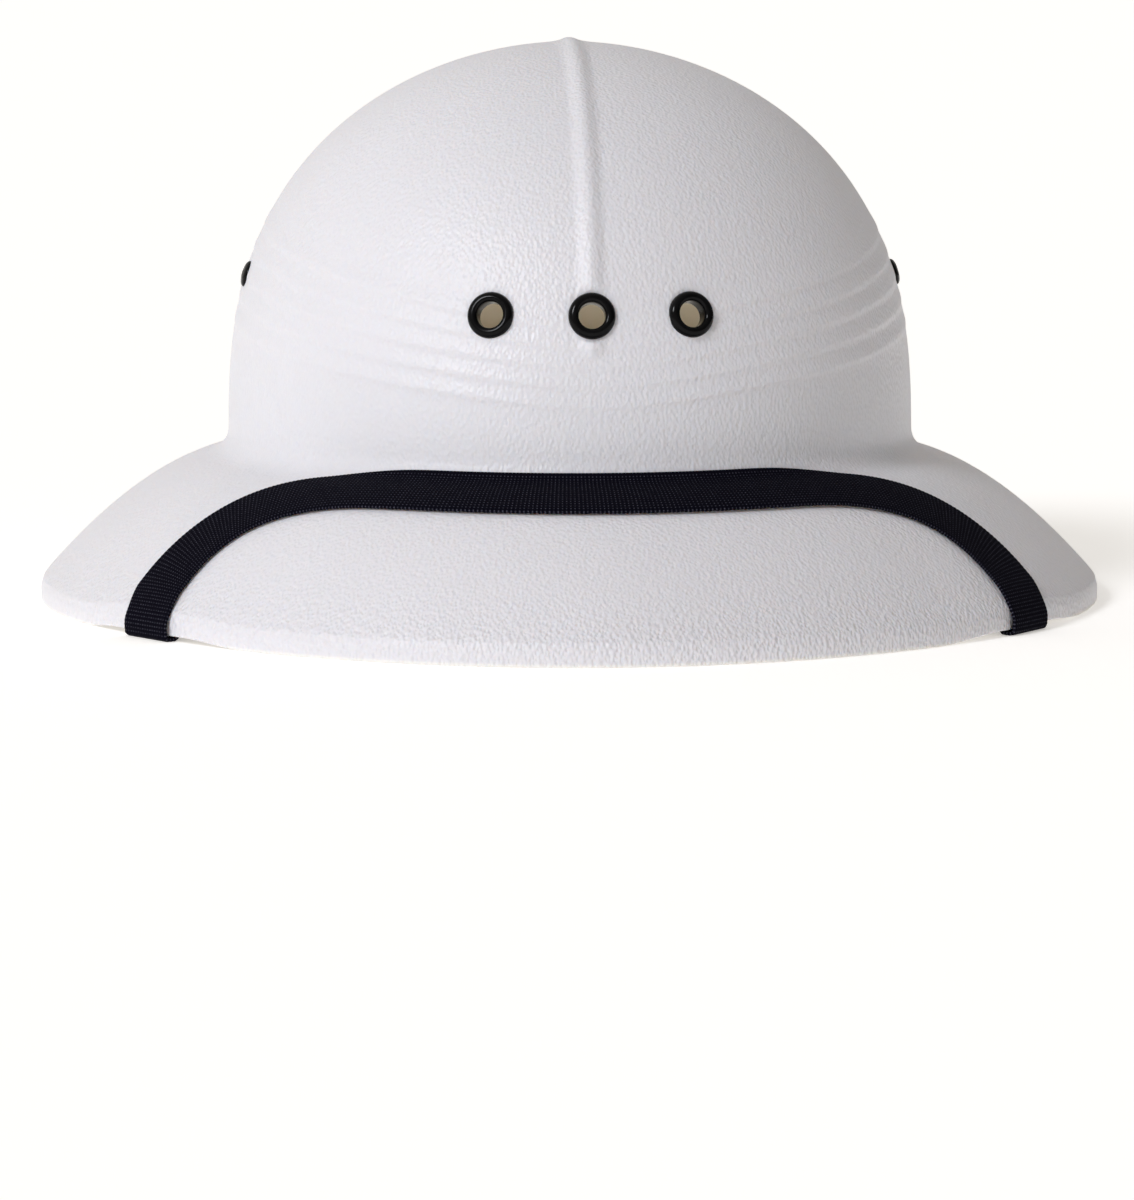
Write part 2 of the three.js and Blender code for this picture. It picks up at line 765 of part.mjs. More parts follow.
const shellPlastic = material(0xe9e8ee, 0.5);
const bandPlastic = material(0xe6e2d8, 0.45);
const blackEnamel = material(0x0b0b0c, 0.2);
const strapWebbing = material(0x14131f, 0.9);

// Assembly
const helmet = new THREE.Group();

function addPiece(name, geometry, look, frame) {
  const mesh = new THREE.Mesh(geometry, look);
  mesh.name = name;
  if (frame) mesh.applyMatrix4(frame);
  helmet.add(mesh);
}

for (const [name, geometry] of Object.entries(shellSolids())) {
  addPiece(`shell_${name}`, geometry, shellPlastic);
}
for (const [side, frame] of Object.entries(ventFrames)) {
  addPiece(`vent_grommet_${side}`, grommet(), blackEnamel, frame);
}
for (const [side, frame] of Object.entries(rivetFrames)) {
  addPiece(`side_rivet_${side}`, sideRivet(), blackEnamel, frame);
}

const frontStrip = bandStrip(0, -bandFrontEnd, bandFrontEnd);
const rearStrip = bandStrip(-bandWall - gap, bandRearStart, 360 - bandRearStart);
addPiece('headband_front', withStudHoles(frontStrip, ['hanger', 'strap']), bandPlastic);
addPiece('headband_rear', withStudHoles(rearStrip, ['hanger']), bandPlastic);
for (const [side, sign] of [['left', -1], ['right', 1]]) {
  addPiece(`side_hanger_${side}`, hanger(sign), bandPlastic);
  addPiece(`hanger_stud_${side}`, stud(studPlaces.hanger), bandPlastic, studFrame(studPlaces.hanger, sign));
  addPiece(`strap_stud_${side}`, stud(studPlaces.strap), blackEnamel, studFrame(studPlaces.strap, sign));
}
addPiece('chin_strap', chinStrap(), strapWebbing);

// The rim's widest line lies ahead of the middle of its box
helmet.position.y = (rimFront - rimRear) / 2;

const assembly = new THREE.Group();
assembly.add(helmet);

export default assembly;
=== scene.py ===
import math

import bmesh
import bpy
import numpy as np
from mathutils import Matrix, Vector


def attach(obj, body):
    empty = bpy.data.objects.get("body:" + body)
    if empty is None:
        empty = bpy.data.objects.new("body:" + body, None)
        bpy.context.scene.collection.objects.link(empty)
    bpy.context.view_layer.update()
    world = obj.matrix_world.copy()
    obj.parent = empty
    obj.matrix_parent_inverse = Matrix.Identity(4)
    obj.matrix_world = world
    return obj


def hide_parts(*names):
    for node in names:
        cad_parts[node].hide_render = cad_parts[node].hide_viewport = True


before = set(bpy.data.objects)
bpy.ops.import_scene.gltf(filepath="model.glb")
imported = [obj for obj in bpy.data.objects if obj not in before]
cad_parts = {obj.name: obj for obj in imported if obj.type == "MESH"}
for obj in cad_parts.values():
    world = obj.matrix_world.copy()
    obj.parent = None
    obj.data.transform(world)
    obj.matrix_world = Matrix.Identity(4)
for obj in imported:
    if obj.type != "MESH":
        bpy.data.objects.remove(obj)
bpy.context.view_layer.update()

# Pith helmet in metres, in the frame's axes: +Z up, front towards -Y.
# Angles run round the helmet from the front, towards +X first. Plans list half width, front, rear and the
# powers of the front and rear curves, where 2 is an ellipse.
RIM = np.array([0.152, 0.160, 0.186, 1.9, 2.1])
CROWN = np.array([0.098, 0.107, 0.110, 2.0, 2.0])
BAND = np.array([0.095, 0.103, 0.105, 2.0, 2.0])
LENGTHS = np.array([1.0, 1.0, 1.0, 0.0, 0.0])  # the columns of a plan that are lengths
PLAN_SHIFT = (RIM[1] - RIM[2]) / 2  # from the rim's widest line to the middle of its box

CROWN_TOP = 0.1585
CROWN_UPRIGHT = 0.0465
CROWN_PLAN_POWER = 1.93
CROWN_RISE_POWER = 2.6
DOME = CROWN_TOP - CROWN_UPRIGHT

BRIM_ROOT = 0.0422
BRIM_DROP_POWER = 1.7
FOOT_ROUND = 0.007
FOOT_TOP = BRIM_ROOT + FOOT_ROUND
LIP_HEIGHT = 0.0055
LIP_ROUND = 0.0025
LIP_EDGE_ROUND = 0.0005
LIP_LINE_RISE = 0.0002
LIP_LINE_AT = 0.2  # place of the fine raised line, share of the lip from the brim down
LIP_LINE_WIDTH = 0.07
SHELL_WALL = 0.002

RIDGE_WIDTH = 0.009
RIDGE_HEIGHT = 0.0012
RIDGE_FRONT_END = 0.0758
RIDGE_REAR_END = 0.108
RIDGE_END_LENGTH = 0.005
RIDGE_PRESSED = 0.0014  # how far round the middle vent the ridge is pressed down

PLEAT_COUNT = 5
PLEAT_DEPTH = 0.00042
PLEAT_EDGE = 0.33  # share of a pleat taken by its step
PLEAT_LOW = (0.0615, 0.079)  # lowest pleat at the front and at the sides
PLEAT_HIGH = (0.0825, 0.107)
PLEAT_TURN = 0.1  # how round the lines turn at the front and at the sides
PLEAT_FRONT = 0.45  # share of the depth that is left at the front
PLEAT_FULL = math.radians(20)
PLEAT_SIDE = 0.55  # share that is left at the sides
PLEAT_SOFTENS = math.radians(40)

VENT_HEIGHT = 0.0872
VENT_SPREAD = math.radians(16.6)
VENT_HOLE = 0.0071
VENT_FLANGE = 0.0127
VENT_TUBE = 0.0088
VENT_RISE = 0.0018
VENT_CURL = 0.0116
VENT_CURL_RISE = 0.0012
VENT_SINK = 0.0004  # how far the flange's edge sits in the shell's curve

RIVET_ANGLE = math.radians(85)
RIVET_HEIGHT = 0.093
RIVET_HEAD = 0.0076
RIVET_SHANK = 0.004
RIVET_RISE = 0.0014
RIVET_DIMPLE = 0.0018
RIVET_DIMPLE_DEPTH = 0.0006
RIVET_SINK = 0.0002
RIVET_FOOT_RISE = 0.001

BAND_LEAN = 0.006
BAND_BOTTOM = 0.0375
BAND_HEIGHT = 0.0285
BAND_WALL = 0.0012
BAND_FRONT_END = math.radians(100)
BAND_REAR_START = math.radians(64)
BAND_CORNER = 0.006  # round of a strip's corners at its ends

HANGER_WIDTH = 0.013
HANGER_WALL = 0.0012
HANGER_REACH = 0.006
HANGER_FOOT = 0.005
HANGER_GAP = 0.0012
HANGER_CORNER = 0.004

STUD_HEAD = 0.007
STUD_SHANK = 0.0032
STUD_RISE = 0.0009
HANGER_STUD_UP = 0.013
STRAP_STUD_UP = 0.0115
GAP = 0.0003

STRAP_WIDTH = 0.019
STRAP_WALL = 0.0012
STRAP_STANDOFF = 0.0105
STRAP_LEAVES = math.radians(33)
STRAP_WRAPS = math.radians(52.5)
STRAP_ANCHOR = math.radians(58)
STRAP_KNOTS_UP = (0.008, 0.0115, 0.0155, 0.0195)  # its last points up the band, the end last
STRAP_BEND = 0.004
STRAP_BOW = 0.005
STRAP_GAP = 0.0004
SWEEP_LEAVING = 0.45
SWEEP_ARRIVING = 0.3
EASE_REACH = 0.024  # how far along the strap its turns are eased
STRAP_EDGE = 0.93  # where its edges start to round, share of its half width
RIB_PITCH = 0.00105
RIB_RISE = 0.00012
THREAD_PITCH = 0.0011
LIFT_FLAT = 0.014
LIFT_FADE = 0.026

STEP = 1e-3  # step of the slopes that normals are taken from


# Plans and the shell's surface, as in the frame
def grow(plan, by):
    return plan + np.asarray(by)[..., None] * LENGTHS


def scaled(plan, by):
    return plan * (np.asarray(by)[..., None] * LENGTHS + 1 - LENGTHS)


def mixed(a, b, share):
    share = np.asarray(share)[..., None]
    return a * (1 - share) + b * share


def plan_point(plan, angle, height):
    across, ahead = np.sin(angle), np.cos(angle)
    in_front = ahead > 0
    depth = np.where(in_front, plan[..., 1], plan[..., 2])
    power = np.where(in_front, plan[..., 3], plan[..., 4])
    x = plan[..., 0] * np.sign(across) * np.abs(across) ** (2 / power)
    y = -depth * np.sign(ahead) * np.abs(ahead) ** (2 / power)
    return np.stack(np.broadcast_arrays(x, y + PLAN_SHIFT, height), -1)


def plan_tangent(plan, angle):
    tangent = plan_point(plan, angle + STEP, 0.0) - plan_point(plan, angle - STEP, 0.0)
    return tangent / np.linalg.norm(tangent, axis=-1, keepdims=True)


def plan_outward(plan, angle):
    return np.cross(plan_tangent(plan, angle), (0.0, 0.0, 1.0))


def wrapped(angle):
    return np.abs((np.asarray(angle) + 3 * math.pi) % (2 * math.pi) - math.pi)


def lift_at(angle):
    spot = plan_point(RIM, wrapped(angle), 0.0)
    away = np.linalg.norm(spot - plan_point(RIM, STRAP_WRAPS, 0.0), axis=-1)
    return (STRAP_WALL + STRAP_GAP) * smoothstep(1 - (away - LIFT_FLAT) / LIFT_FADE)


def crown_turn(height):
    return np.arccos(((height - CROWN_UPRIGHT) / DOME) ** (CROWN_RISE_POWER / 2))


def crown_point(angle, turn, proud=0.0):
    share = np.sin(turn) ** (2 / CROWN_PLAN_POWER)
    height = CROWN_UPRIGHT + DOME * np.cos(turn) ** (2 / CROWN_RISE_POWER)
    return plan_point(grow(scaled(CROWN, share), proud), angle, height)


def brim_run(angle):
    return np.linalg.norm(plan_point(CROWN, angle, 0.0) - plan_point(RIM, angle, 0.0), axis=-1)


def brim_line(share):
    return LIP_HEIGHT + (BRIM_ROOT - LIP_HEIGHT) * (1 - share**BRIM_DROP_POWER)


def brim_height(angle, share):
    foot = FOOT_ROUND / brim_run(angle)
    slope = (BRIM_ROOT - LIP_HEIGHT) * BRIM_DROP_POWER * foot ** (BRIM_DROP_POWER - 1)
    along = np.sqrt(np.minimum(share / foot, 1))
    corner = brim_line(foot) + slope * foot
    round_height = (1 - along) ** 2 * FOOT_TOP + 2 * along * (1 - along) * corner
    return np.where(share < foot, round_height + along**2 * brim_line(foot), brim_line(share))


def brim_point(angle, share):
    wall = scaled(CROWN, np.sin(crown_turn(FOOT_TOP)) ** (2 / CROWN_PLAN_POWER))
    height = brim_height(angle, share) + lift_at(angle) * share * share
    return plan_point(mixed(wall, RIM, share), angle, height)


def lip_point(angle, share):
    lift = lift_at(angle)
    start = brim_point(angle, 1 - LIP_ROUND / brim_run(angle))
    corner = plan_point(RIM, angle, LIP_HEIGHT + lift)
    face = plan_point(RIM, angle, LIP_HEIGHT - LIP_ROUND + lift)
    turn = np.clip(np.asarray(share)[..., None] * 2, 0, 1)
    fall = np.clip(np.asarray(share) * 2 - 1, 0, 1) * (LIP_HEIGHT - LIP_ROUND)
    point = start * (1 - turn) ** 2 + 2 * corner * turn * (1 - turn) + face * turn**2
    point[..., 2] -= fall
    return point


def crown_zone(angle, share):
    return crown_point(angle, share * crown_turn(FOOT_TOP))


def foot_zone(angle, share):
    return brim_point(angle, share * share * FOOT_ROUND / brim_run(angle))


def brim_zone(angle, share):
    run = brim_run(angle)
    low, high = FOOT_ROUND / run, 1 - LIP_ROUND / run
    return brim_point(angle, low + (high - low) * share)


def normal_of(surface, angle, share):
    along = surface(angle, np.clip(share + STEP, 0, 1)) - surface(angle, np.clip(share - STEP, 0, 1))
    around = surface(angle + STEP, share) - surface(angle - STEP, share)
    normal = np.cross(along, around)
    return normal / np.linalg.norm(normal, axis=-1, keepdims=True)


def run_along(points):
    return np.concatenate([[0], np.cumsum(np.linalg.norm(np.diff(points, axis=0), axis=1))])


def smoothstep(value):
    value = np.clip(value, 0, 1)
    return value * value * (3 - 2 * value)


# Relief of the crown: pleats whose lower edges stand proud, and the ridge
def pleat_height(angle, level):
    run = np.hypot(wrapped(angle) / (math.pi / 2), PLEAT_TURN) - PLEAT_TURN
    left = 1 - run / (math.hypot(1, PLEAT_TURN) - PLEAT_TURN)
    side = 1 - (left + np.hypot(left, PLEAT_TURN)) / 2
    low = PLEAT_LOW[0] + (PLEAT_LOW[1] - PLEAT_LOW[0]) * side
    high = PLEAT_HIGH[0] + (PLEAT_HIGH[1] - PLEAT_HIGH[0]) * side
    return low + (high - low) * level / (PLEAT_COUNT - 1)


def pleat_rise(level):
    part = level % 1
    rise = smoothstep(part / PLEAT_EDGE) * (1 - smoothstep((part - PLEAT_EDGE) / (1 - PLEAT_EDGE)) ** 0.8)
    return PLEAT_DEPTH * np.where((level < 0) | (level > PLEAT_COUNT), 0, rise)


def pleat_fade(angle):
    turn = wrapped(angle)
    fade = PLEAT_FRONT + (1 - PLEAT_FRONT) * smoothstep(turn / PLEAT_FULL)
    return fade - (1 - PLEAT_SIDE) * smoothstep((turn - PLEAT_SOFTENS) / (math.pi / 2 - PLEAT_SOFTENS))


def ridge_rise(points):
    across = np.clip(np.abs(points[..., 0]) / (RIDGE_WIDTH / 2), 0, 1)
    end = np.where(points[..., 1] < PLAN_SHIFT, RIDGE_FRONT_END, RIDGE_REAR_END)
    fullness = np.sqrt(np.clip((points[..., 2] - end) / RIDGE_END_LENGTH, 0, 1))
    vent = crown_point(np.float64(0), crown_turn(VENT_HEIGHT))
    from_flange = np.linalg.norm(points - vent, axis=-1) - VENT_FLANGE / 2
    fullness = fullness * smoothstep(from_flange / RIDGE_PRESSED)
    return RIDGE_HEIGHT * fullness * np.cos(across * math.pi / 2) ** 2


# Meshes from grids of points
def grid_faces(rows, columns):
    row = np.arange(rows - 1)[:, None]
    column = np.arange(columns)[None, :]
    after = (column + 1) % columns
    corners = (row * columns + column, (row + 1) * columns + column)
    others = ((row + 1) * columns + after, row * columns + after)
    return np.stack([*corners, *others], -1).reshape(-1, 4)


def make_piece(name, points, faces, materials, slot, replaced, sharp=40, fields=None):
    mesh = bpy.data.meshes.new(name)
    mesh.from_pydata(np.asarray(points).reshape(-1, 3).tolist(), [], [list(face) for face in faces])
    for material in materials:
        mesh.materials.append(material)
    for field, values in (fields or {}).items():
        mesh.attributes.new(field, "FLOAT", "POINT").data.foreach_set("value", values.astype(np.float32))
    tool = bmesh.new()
    tool.from_mesh(mesh)
    bmesh.ops.remove_doubles(tool, verts=tool.verts, dist=1e-7)
    bmesh.ops.recalc_face_normals(tool, faces=tool.faces)
    tool.to_mesh(mesh)
    tool.free()
    mesh.shade_smooth()
    mesh.set_sharp_from_angle(angle=math.radians(sharp))
    piece = bpy.data.objects.new(name, mesh)
    bpy.context.scene.collection.objects.link(piece)
    if replaced:
        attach(piece, "root")
        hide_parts(*replaced)
    return piece


# Place on a surface, with +Z along its outward normal
def place_at(point, normal):
    turn = Vector((0, 0, 1)).rotation_difference(Vector(normal))
    return Matrix.Translation(Vector(point)) @ turn.to_matrix().to_4x4()


def turned(name, profile, place, materials, slot, replaced, sides=72, closed=False):
    profile = np.array(profile)
    angle = np.linspace(0, 2 * math.pi, sides, endpoint=False)
    ring = np.stack([np.cos(angle), np.sin(angle)], -1)
    rows = [np.column_stack([ring * radius, np.full(sides, height)]) for radius, height in profile]
    if closed:
        rows.append(rows[0])
    points = np.concatenate(rows)
    matrix = np.array(place)
    points = points @ matrix[:3, :3].T + matrix[:3, 3]
    return make_piece(name, points, grid_faces(len(rows), sides), materials, slot, replaced, sharp=50)


def crown_place(angle, height):
    share = crown_turn(height) / crown_turn(FOOT_TOP)
    angle, share = np.float64(angle), np.float64(share)
    return place_at(crown_zone(angle, share), normal_of(crown_zone, angle, share))


# Materials
class Look:
    """A material with short ways to add and join its nodes."""

    def __init__(self, name, color, roughness, **sockets):
        self.material = bpy.data.materials.new(name)
        self.material.use_nodes = True
        self.tree = self.material.node_tree
        self.shader = self.tree.nodes["Principled BSDF"]
        self.material.diffuse_color = (*color, 1)
        self.set(self.shader, {"Base Color": (*color, 1), "Roughness": roughness, **sockets})

    def set(self, node, inputs):
        for key, value in inputs.items():
            if isinstance(value, bpy.types.NodeSocket):
                self.tree.links.new(value, node.inputs[key])
            else:
                node.inputs[key].default_value = value

    def add(self, kind, inputs=None, **settings):
        node = self.tree.nodes.new("ShaderNode" + kind)
        for key, value in settings.items():
            setattr(node, key, value)
        self.set(node, inputs or {})
        return node

    def place(self, stretch=(1, 1, 1)):
        spot = self.add("TexCoord").outputs["Object"]
        return self.add("Mapping", {"Vector": spot, "Scale": stretch}).outputs["Vector"]

    def noise(self, vector, size, detail=3.0):
        scale = 1 / size
        return self.add("TexNoise", {"Vector": vector, "Scale": scale, "Detail": detail}).outputs["Fac"]

    def pebbles(self, vector, size):
        inputs = {"Vector": vector, "Scale": 1 / size, "Smoothness": 0.55}
        return self.add("TexVoronoi", inputs, feature="SMOOTH_F1").outputs["Distance"]

    def ramp(self, value, low, high, to_low=0.0, to_high=1.0):
        inputs = {"Value": value, "From Min": low, "From Max": high, "To Min": to_low, "To Max": to_high}
        return self.add("MapRange", inputs).outputs["Result"]

    def math(self, operation, a, b):
        node = self.add("Math", operation=operation)
        for socket, value in zip(node.inputs, (a, b)):
            if isinstance(value, bpy.types.NodeSocket):
                self.tree.links.new(value, socket)
            else:
                socket.default_value = value
        return node.outputs["Value"]

    def mix(self, factor, a, b):
        node = self.add("Mix", data_type="RGBA")
        factor_in, a_in, b_in = node.inputs["Factor"], node.inputs[6], node.inputs[7]
        for socket, value in ((factor_in, factor), (a_in, a), (b_in, b)):
            if isinstance(value, bpy.types.NodeSocket):
                self.tree.links.new(value, socket)
            else:
                socket.default_value = (*value, 1) if isinstance(value, tuple) else value
        return node.outputs[2]

    def bump(self, height, depth, strength=1.0, under=None):
        inputs = {"Height": height, "Distance": depth, "Strength": strength}
        if under is not None:
            inputs["Normal"] = under
        return self.add("Bump", inputs).outputs["Normal"]

    def height_up(self, vector):
        return self.add("SeparateXYZ", {"Vector": vector}).outputs["Z"]


# Colours come in pairs that drift into each other over the piece
SHELL_WHITES = ((0.745, 0.74, 0.78), (0.725, 0.72, 0.755))
# The rim's bottom edge gets a lighter colour: a painted highlight along that edge
SHELL_EDGE_HIGHLIGHT = (0.84, 0.825, 0.8)
UNDER_BRIM_WHITES = ((0.83, 0.81, 0.785), (0.8, 0.78, 0.755))
# Painted light: the warmer, yellower whites inside the crown stand for light let through the wall and
# bounced round inside
PAINTED_WARM_LIGHT_WHITES = ((0.82, 0.775, 0.68), (0.79, 0.745, 0.65))
BAND_WHITES = ((0.8, 0.78, 0.725), (0.75, 0.73, 0.67))
ENAMEL_BLACKS = ((0.0018, 0.0018, 0.002), (0.0035, 0.0035, 0.004))
STRAP_NAVY = (0.0017, 0.0014, 0.0052)
# The strap's light flecks are painted highlights on the weave's raised crossings
STRAP_PAINTED_GLINT = (0.085, 0.085, 0.112)

PEBBLE_SIZE = 0.00095
PEBBLE_DEPTH = 0.00027
PEBBLE_STRETCH = (1, 1, 0.65)
WRINKLE_SIZE = 0.0013
WRINKLE_DEPTH = 0.00013
WRINKLE_STRETCH = (1, 1, 0.6)
GRAIN_RISES = (0.02, 0.006)  # heights between which the grain grows firmer towards the lip
GRAIN_FIRMER = 1.9
EDGE_HIGHLIGHT_RISES = (0.0012, 0.0004)  # heights between which the painted highlight along the rim's bottom edge comes in
PAINTED_WARM_LIGHT_EDGE = (0.03, 0.055)  # and where the painted warm light inside the crown takes over from the brim's colour

# Light that passes through the thin wall of the shell
THROUGH = {"Subsurface Weight": 0.42, "Subsurface Radius": (1, 0.79, 0.64), "Subsurface Scale": 0.003}


def outside_plastic():
    look = Look("shell_plastic", SHELL_WHITES[0], 0.42, **{"Specular IOR Level": 0.45, **THROUGH})
    spot = look.place()
    height = look.height_up(spot)
    firmness = look.ramp(height, *GRAIN_RISES, 1.0, GRAIN_FIRMER)
    pebbles = look.pebbles(look.place(PEBBLE_STRETCH), PEBBLE_SIZE)
    wrinkles = look.noise(look.place(WRINKLE_STRETCH), WRINKLE_SIZE, 2.0)
    patches = look.noise(spot, 0.03)
    grain = look.bump(look.math("MULTIPLY", pebbles, firmness), PEBBLE_DEPTH, 0.87)
    grain = look.bump(wrinkles, WRINKLE_DEPTH, 0.7, grain)
    color = look.mix(look.ramp(patches, 0.35, 0.7, 0.0, 0.5), *SHELL_WHITES)
    # Painted highlight: the rim's bottom edge is made lighter towards the bottom
    color = look.mix(look.ramp(height, *EDGE_HIGHLIGHT_RISES), color, SHELL_EDGE_HIGHLIGHT)
    look.set(look.shader, {"Base Color": color, "Normal": grain})
    look.set(look.shader, {"Roughness": look.ramp(patches, 0.3, 0.7, 0.38, 0.47)})
    return look.material


def inside_plastic():
    look = Look("shell_inside", PAINTED_WARM_LIGHT_WHITES[0], 0.4, **{"Specular IOR Level": 0.4, **THROUGH})
    spot = look.place()
    height = look.height_up(spot)
    patches = look.noise(spot, 0.04)
    under_brim = look.mix(patches, *UNDER_BRIM_WHITES)
    # Painted light: the crown's inside is made warmer and yellower than the brim's underside, for light
    # through the wall bounced round inside
    painted_warm_light = look.mix(patches, *PAINTED_WARM_LIGHT_WHITES)
    color = look.mix(look.ramp(height, *PAINTED_WARM_LIGHT_EDGE), under_brim, painted_warm_light)
    normal = look.bump(look.noise(spot, 0.006), 0.0001, 0.5)
    normal = look.bump(look.noise(spot, 0.0006, 2.0), 0.00002, 0.5, normal)
    look.set(look.shader, {"Base Color": color, "Normal": normal})
    look.set(look.shader, {"Roughness": look.ramp(patches, 0.3, 0.7, 0.34, 0.46)})
    return look.material


def band_plastic():
    look = Look("band_plastic", BAND_WHITES[0], 0.4, **{"Specular IOR Level": 0.45})
    spot = look.place()
    drift = look.noise(spot, 0.02)
    color = look.mix(drift, *BAND_WHITES)
    normal = look.bump(look.noise(look.place((1, 1, 4)), 0.002), 0.00004, 0.5)
    look.set(look.shader, {"Base Color": color, "Normal": normal})
    look.set(look.shader, {"Roughness": look.ramp(drift, 0.3, 0.7, 0.35, 0.47)})
    return look.material


def black_enamel():
    look = Look("black_enamel", ENAMEL_BLACKS[0], 0.12, **{"Specular IOR Level": 0.12})
    spot = look.place()
    drift = look.noise(spot, 0.003)
    color = look.mix(look.ramp(drift, 0.4, 0.75), *ENAMEL_BLACKS)
    normal = look.bump(look.noise(spot, 0.0011), 0.00002, 0.4)
    look.set(look.shader, {"Base Color": color, "Normal": normal})
    look.set(look.shader, {"Roughness": look.ramp(drift, 0.3, 0.7, 0.1, 0.18)})
    return look.material


def webbing():
    look = Look("strap_webbing", STRAP_NAVY, 0.85, **{"Specular IOR Level": 0.04})
    along = look.add("Attribute", attribute_name="along").outputs["Fac"]
    across = look.add("Attribute", attribute_name="across").outputs["Fac"]
    wave_along = look.math("SINE", look.math("MULTIPLY", along, math.pi / RIB_PITCH), 0)
    wave_across = look.math("SINE", look.math("MULTIPLY", across, math.pi / THREAD_PITCH), 0)
    weave = look.math("MULTIPLY", wave_along, wave_across)
    knots = look.math("ABSOLUTE", weave, 0)
    fibres = look.noise(look.place(), 0.00025, 2.0)
    # Painted highlights: light flecks on the crossings where the weave stands up
    spots = look.math("MULTIPLY", look.ramp(knots, 0.72, 1.0), look.ramp(fibres, 0.35, 0.6))
    color = look.mix(spots, STRAP_NAVY, STRAP_PAINTED_GLINT)
    normal = look.bump(knots, 0.00022, 0.9)
    normal = look.bump(fibres, 0.00005, 0.7, normal)
    look.set(look.shader, {"Base Color": color, "Normal": normal})
    return look.material


shell_outside = outside_plastic()
shell_inside = inside_plastic()
band_look = band_plastic()
enamel = black_enamel()
strap_look = webbing()


# Shell: rows down the outside, round the trimmed edge and back up the inside
COLUMNS = 360
COLUMN_CROWDING = 0.6  # how much closer together the columns are along the ridge
TOP_ROWS = 48
TOP_CROWDING = 1.8  # how much closer the top rows come towards the pleats
PLEAT_ROWS = 12
WALL_ROWS = 6
FOOT_ROWS = 10
BRIM_ROWS = 36
LIP_ROWS = 23
EDGE_TURNS = np.radians([30, 60, 90])
INNER_ROWS = ((lip_point, 6), (brim_zone, 16), (foot_zone, 6), (crown_zone, 34))
SHARP = math.radians(40)


def shell_angles():
    even = np.linspace(0, 2 * math.pi, COLUMNS, endpoint=False)
    return even - COLUMN_CROWDING * np.sin(2 * even) / 2


def crown_row(angle, turn, proud=0.0):
    points = crown_point(angle, turn, proud)
    share = turn / crown_turn(FOOT_TOP)
    rise = ridge_rise(points)
    return points + normal_of(crown_zone, angle, share) * rise[:, None]


def outer_rows(angle):
    rows = []
    highest = crown_turn(pleat_height(angle, PLEAT_COUNT))
    for k in range(1, TOP_ROWS):
        rows.append(crown_row(angle, highest * (1 - (1 - k / TOP_ROWS) ** TOP_CROWDING)))
    for k in range(PLEAT_COUNT * PLEAT_ROWS, -1, -1):
        level = k / PLEAT_ROWS
        proud = pleat_rise(np.float64(level)) * pleat_fade(angle)
        rows.append(crown_row(angle, crown_turn(pleat_height(angle, level)), proud))
    lowest = pleat_height(angle, 0)
    for share in np.linspace(0, 1, WALL_ROWS + 2)[1:-1]:
        rows.append(crown_row(angle, crown_turn(lowest + (FOOT_TOP - lowest) * share)))
    rows += [foot_zone(angle, np.float64(share)) for share in np.linspace(0, 1, FOOT_ROWS)]
    rows += [brim_zone(angle, np.float64(share)) for share in np.linspace(0, 1, BRIM_ROWS + 1)[1:]]
    straight = 1 - LIP_EDGE_ROUND / (LIP_HEIGHT - LIP_ROUND) / 2
    for share in np.linspace(0, straight, LIP_ROWS + 1)[1:]:
        share = np.float64(share)
        line = LIP_LINE_RISE * math.exp(-(((share - LIP_LINE_AT) / LIP_LINE_WIDTH) ** 2))
        rows.append(lip_point(angle, share) + normal_of(lip_point, angle, share) * line)
    return rows


def edge_rows(angle):
    outward = plan_outward(RIM, angle)
    inset = LIP_EDGE_ROUND * (1 - np.cos(EDGE_TURNS))
    height = LIP_EDGE_ROUND * (1 - np.sin(EDGE_TURNS))
    spots = [*zip(inset, height), *zip(SHELL_WALL - inset[::-1], height[::-1])]
    return [plan_point(RIM, angle, lift_at(angle) + up) - outward * into for into, up in spots]


def inner_rows(angle):
    rows = []
    for zone, count in INNER_ROWS:
        last = 1 - LIP_EDGE_ROUND / (LIP_HEIGHT - LIP_ROUND) / 2 if zone is lip_point else 1
        for k in range(count):
            share = np.float64(last * (1 - k / count))
            rows.append(zone(angle, share) - normal_of(zone, angle, share) * SHELL_WALL)
    return rows


def cutters():
    places = [(crown_place(turn * VENT_SPREAD, VENT_HEIGHT), VENT_TUBE) for turn in (-1, 0, 1)]
    places += [(crown_place(side * RIVET_ANGLE, RIVET_HEIGHT), RIVET_SHANK) for side in (-1, 1)]
    tool = bmesh.new()
    for place, width in places:
        radius = width / 2 + GAP
        depth = 4 * SHELL_WALL
        bmesh.ops.create_cone(
            tool, cap_ends=True, segments=48, radius1=radius, radius2=radius, depth=depth, matrix=place
        )
    mesh = bpy.data.meshes.new("cutters")
    tool.to_mesh(mesh)
    tool.free()
    cutter = bpy.data.objects.new("cutters", mesh)
    bpy.context.scene.collection.objects.link(cutter)
    return cutter


